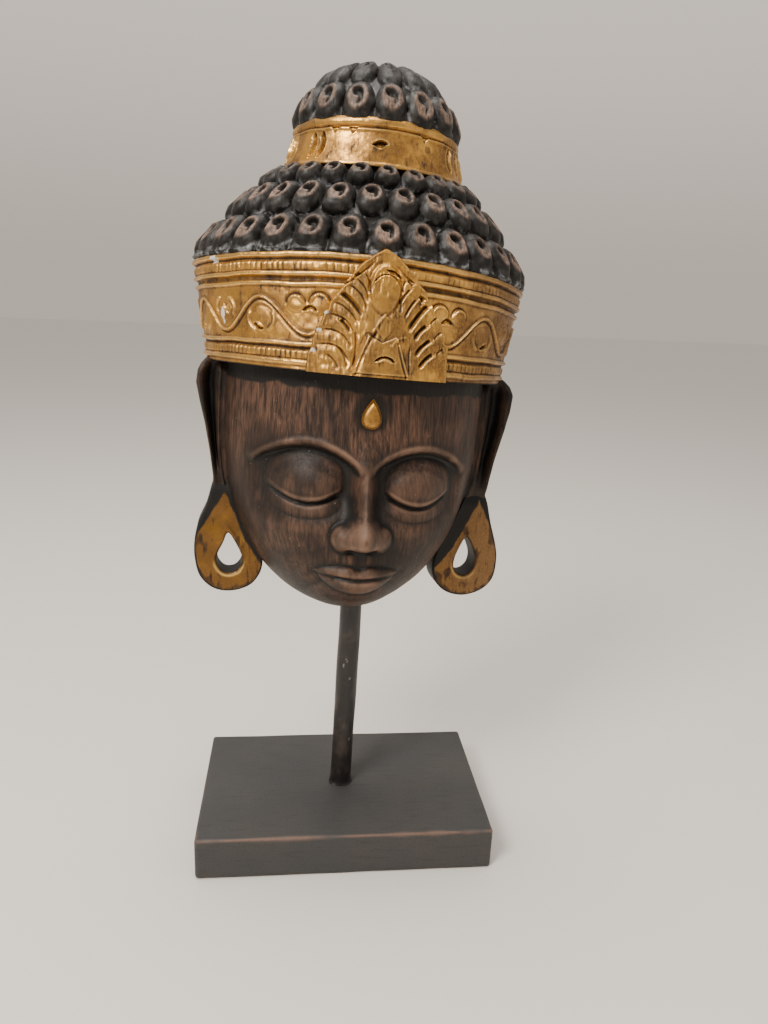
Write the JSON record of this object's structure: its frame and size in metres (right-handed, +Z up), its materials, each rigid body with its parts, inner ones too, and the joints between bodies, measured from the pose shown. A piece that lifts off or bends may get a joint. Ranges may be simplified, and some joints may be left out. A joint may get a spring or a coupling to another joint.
{
  "type": "buddha mask on stand",
  "caption": "Carved wooden mask of a crowned Buddha with curled hair and pierced gilded ear lobes, held upright on a rod in a flat block.",
  "frame": {"origin": "centre of the block's underside", "axes": "+Z up, the face looks towards -Y, the block's long side lies along X"},
  "size_m": [0.1945, 0.1289, 0.4595],
  "materials": {
    "carved_wood": "dark brown stained wood, rubbed red-brown on high grain, satin",
    "hair_paint": "black paint, satin, rubbed to brown wood on the curls",
    "gold_paint": "gold paint over wood, satin, dark in the cuts and rubbed on the edges",
    "rod_paint": "black paint, satin, with light scratches",
    "block_paint": "black-grey paint, matt, rubbed to brown wood on the edges"
  },
  "bodies": {
    "root": {"base": "block_paint", "rod": "rod_paint", "mask": "carved_wood"}
  },
  "joints": []
}
